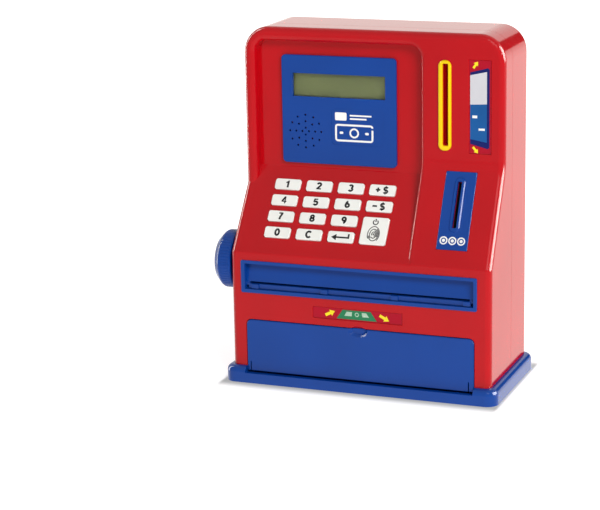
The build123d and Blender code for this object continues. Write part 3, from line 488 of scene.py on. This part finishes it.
def shifted(shape, x, y, angle=0.0):
    """A shape turned by an angle in degrees, then moved."""
    turn = Matrix.Rotation(math.radians(angle), 2)
    return [tuple(turn @ Vector(point) + Vector((x, y))) for point in shape]


def oval(x, y, rx, ry, start, end, steps=28):
    """Points along part of an ellipse, angles in degrees."""
    return [(x + rx * px, y + ry * py) for px, py in arc((0, 0), 1, start, end, steps)]


def oval_ring(x, y, rx, ry, thick):
    """An oval ring as two half bands."""
    return [band(oval(x, y, rx, ry, start, start + 180), thick) for start in (0, 180)]


STROKE = 1.15
KEY_PRINT_SCALE = 1.2


def glyphs():
    """Plain bold digits and signs, 4.3 mm high before they are scaled, about their middle."""
    top_bar = rectangle(-1.25, 1.42, 1.3, 2.15)
    six = [
        *oval_ring(0.05, -0.78, 1.0, 1.0, STROKE),
        band(oval(0.75, -0.7, 1.72, 2.5, 180, 108), STROKE),
    ]
    snake = oval(0, 0.85, 0.98, 0.92, 22, 262) + oval(0, -0.9, 1.08, 0.92, 82, -158)
    dollar = [
        shifted(shape, 2.0, 0)
        for shape in (band(snake, STROKE * 0.92), rectangle(-0.2, -2.65, 0.2, 2.65))
    ]
    plus = [rectangle(-1.35, -0.5, 1.35, 0.5), rectangle(-0.5, -1.35, 0.5, 1.35)]
    return {
        "0": oval_ring(0, 0, 1.1, 1.76, STROKE),
        "1": [[
            (-0.3, -2.15), (0.85, -2.15), (0.85, 2.15), (0.1, 2.15),
            (-0.3, 1.6), (-1.1, 1.35), (-1.1, 0.6), (-0.3, 0.6),
        ]],
        "2": [
            band(oval(0, 0.82, 1.05, 0.95, 172, -32) + [(-0.05, -0.75), (-1.0, -1.75)], STROKE),
            rectangle(-1.4, -2.15, 1.4, -1.42),
        ],
        "3": [
            band(oval(0, 0.88, 0.95, 0.88, 160, -78), STROKE),
            band(oval(0, -0.86, 1.05, 0.92, 84, -160), STROKE),
        ],
        "4": [
            band([(0.5, 2.05), (-1.15, -0.72)], STROKE * 0.9),
            rectangle(-1.5, -1.2, 1.4, -0.5),
            rectangle(0.2, -2.15, 0.95, 2.15),
        ],
        "5": [
            rectangle(-0.95, 1.42, 1.2, 2.15),
            band([(-0.7, 1.9), (-0.95, -0.1)], STROKE * 0.8),
            band(oval(0.0, -0.68, 1.08, 1.06, 150, -155), STROKE),
        ],
        "6": six,
        "7": [top_bar, band([(0.9, 1.75), (0.2, 0.4), (-0.25, -0.8), (-0.45, -2.15)], STROKE)],
        "8": [
            *oval_ring(0, 0.95, 0.86, 0.82, STROKE * 0.95),
            *oval_ring(0, -0.88, 1.05, 0.9, STROKE * 0.95),
        ],
        "9": [[(-x, -y) for x, y in outline] for outline in six],
        "clear": [band(oval(0, 0, 1.5, 1.76, 42, 318), STROKE)],
        "add": [*(shifted(shape, -2.6, 0) for shape in plus), *dollar],
        "subtract": [rectangle(-3.95, -0.5, -1.25, 0.5), *dollar],
        "enter": [
            rectangle(4.2, -0.9, 5.2, 1.9),
            rectangle(-3.2, -0.9, 5.2, 0.1),
            [(-5.6, -0.4), (-2.6, 1.5), (-2.6, -2.3)],
        ],
    }


def make_key_prints():
    """A digit or a sign on every key."""
    for key, shapes in glyphs().items():
        face = Surface(f"key_{key}", -joint_axis(f"press_{key}"))
        grown = face.matrix() @ Matrix.Diagonal((KEY_PRINT_SCALE, KEY_PRINT_SCALE, 1, 1))
        print_shapes(f"print_{key}", grown, shapes, INK_PRINT, f"button_{key}")
    # The power key: a power sign above a pad of nested arcs that marks where a finger presses.
    face = Surface("key_power", -joint_axis("press_power"))
    sign = [band(arc((0, 6.3), 1.7, 128, 412), 0.75), rectangle(-0.4, 6.6, 0.4, 8.8)]
    pad_y, line = -2.6, 0.56
    sign.append(oval(0, pad_y, 0.45, 0.85, 0, 360)[:-1])
    sweeps = ((-60, 205), (-140, 80), (-30, 230), (-165, 60), (-50, 215))
    for i, (start, end) in enumerate(sweeps):
        sign.append(band(oval(0, pad_y, 1.2 + 0.74 * i, 1.8 + 0.98 * i, start, end, 36), line))
    print_shapes("print_power", face.matrix(), sign, INK_PRINT, "button_power")


def make_panel_print():
    """A generic note and card sign on the display panel."""
    face = Surface("display_panel", FRONT)
    low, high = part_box("display_panel")
    print_x, print_z = -0.0146, 0.17575
    centre_x = print_x / MM - (low.x + high.x) / 2 / MM
    centre_z = print_z / MM - (low.z + high.z) / 2 / MM
    shapes = [
        band(rounded(-11, -7.6, 11, 1.4, 1.2) + [(11, -1.0)], 1.1),
        *ring((0, -3.1), 2.9, 1.9),
        rounded(-8.8, -3.8, -6.6, -2.4, 0.6),
        rounded(6.6, -3.8, 8.8, -2.4, 0.6),
        rounded(-11.5, 4.0, -4.5, 8.6, 0.8),
        rectangle(-2.5, 6.6, 10.5, 7.5),
        rectangle(-2.5, 4.7, 7.5, 5.6),
    ]
    grown = 1.2
    shapes = [
        [(x * grown + centre_x, y * grown + centre_z) for x, y in shape]
        for shape in shapes
    ]
    matrix = face.matrix(-PANEL_PRINT_DROP)
    print_shapes("print_panel", matrix, shapes, WHITE_PRINT, "housing")


def make_coin_print():
    """Three coins in a row under the coin slot."""
    matrix = Surface("coin_slot_plate", COLUMN_FRONT).matrix(-COIN_PRINT_DROP)
    centre_y, apart = -24.6, 6.1
    shapes = []
    for x in (-apart, 0.0, apart):
        shapes += ring((x, centre_y), 2.8, 1.9)
        shapes.append(arc((x, centre_y), 1.1, 0, 360, 20)[:-1])
    print_shapes("print_coins", matrix, shapes, WHITE_PRINT, "housing")


def block_arrow(length, width):
    """A plain arrow that points along +X."""
    tail, neck, tip = -length * 0.5, 0.05 * length, length * 0.5
    shaft, barb = width * 0.22, width * 0.5
    return [
        (tail, -shaft), (neck, -shaft), (neck, -barb), (tip, 0),
        (neck, barb), (neck, shaft), (tail, shaft),
    ]


def print_on_label(name, matrix, shapes, material, thick=PRINT_THICK):
    """Shapes printed on one of the two labels, which are fixed to the housing."""
    print_shapes(name, matrix, shapes, material, "housing", thick)


def make_bill_label():
    """A note that goes in between two arrows."""
    matrix = Surface("bill_label", FRONT).matrix()
    note = [(-15.0, -3.2), (14.0, -3.2), (9.6, 3.2), (-10.6, 3.2)]
    print_on_label("label_note", matrix, [note], GREEN_PRINT)
    pattern = [
        [(-9.4, -0.9), (-4.0, -0.9), (-3.8, 2.1), (-7.6, 2.1)],
        [(8.4, -0.9), (3.6, -0.9), (3.2, 2.1), (6.4, 2.1)],
        *ring((-0.3, 0.5), 1.5, 0.9),
    ]
    print_on_label("label_note_pattern", matrix, pattern, PALE_GREEN_PRINT, OVERPRINT_THICK)
    arrow = block_arrow(7.6, 4.6)
    arrows = [shifted(arrow, -19.6, 0.2, 25), shifted(arrow, 19.4, -0.4, -28)]
    print_on_label("label_note_arrows", matrix, arrows, YELLOW_PRINT)


def make_card_label():
    """A card that goes in, seen at an angle, between two arrows."""
    matrix = Surface("card_label", FRONT).matrix()
    edge = [(-6.9, -24.9), (5.2, -27.9), (6.4, -27.0), (6.4, 25.4), (5.2, 26.3), (-6.9, 23.1)]
    print_on_label("label_card_edge", matrix, [edge], NAVY_PRINT)
    low = [(-6.9, -21.6), (4.6, -23.6), (4.6, 2.2), (-6.9, 1.6)]
    high = [(-6.9, 1.6), (4.6, 2.2), (4.6, 23.8), (-6.9, 21.2)]
    print_on_label("label_card_low", matrix, [low], SKY_PRINT, OVERPRINT_THICK)
    print_on_label("label_card_high", matrix, [high], SILVER_PRINT, OVERPRINT_THICK)
    marks = [rectangle(-5.4, -7.4, -2.0, -5.6), rectangle(-1.0, -15.6, 3.2, -14.2)]
    print_on_label("label_card_marks", matrix, marks, WHITE_PRINT, TOP_PRINT_THICK)
    arrow = block_arrow(5.4, 3.6)
    arrows = [shifted(arrow, -3.2, 28.2, 55), shifted(arrow, -3.2, -29.0, -50)]
    print_on_label("label_card_arrows", matrix, arrows, YELLOW_PRINT)


# ---------------------------------------------------------------- the scene
make_camera()
make_world()
make_floor()
# Reflections don't see the key light: the world's right lamp takes its place in them.
area_light("key_light", (2.4, -2.3, 2.2), (1.6, 1.2), 86).visible_glossy = False
area_light("top_light", (1.0, -1.7, 2.0), (1.2, 1.2), 12)
paint_frame()
make_key_prints()
make_panel_print()
make_coin_print()
make_bill_label()
make_card_label()
bpy.context.scene.view_settings.view_transform = "Standard"
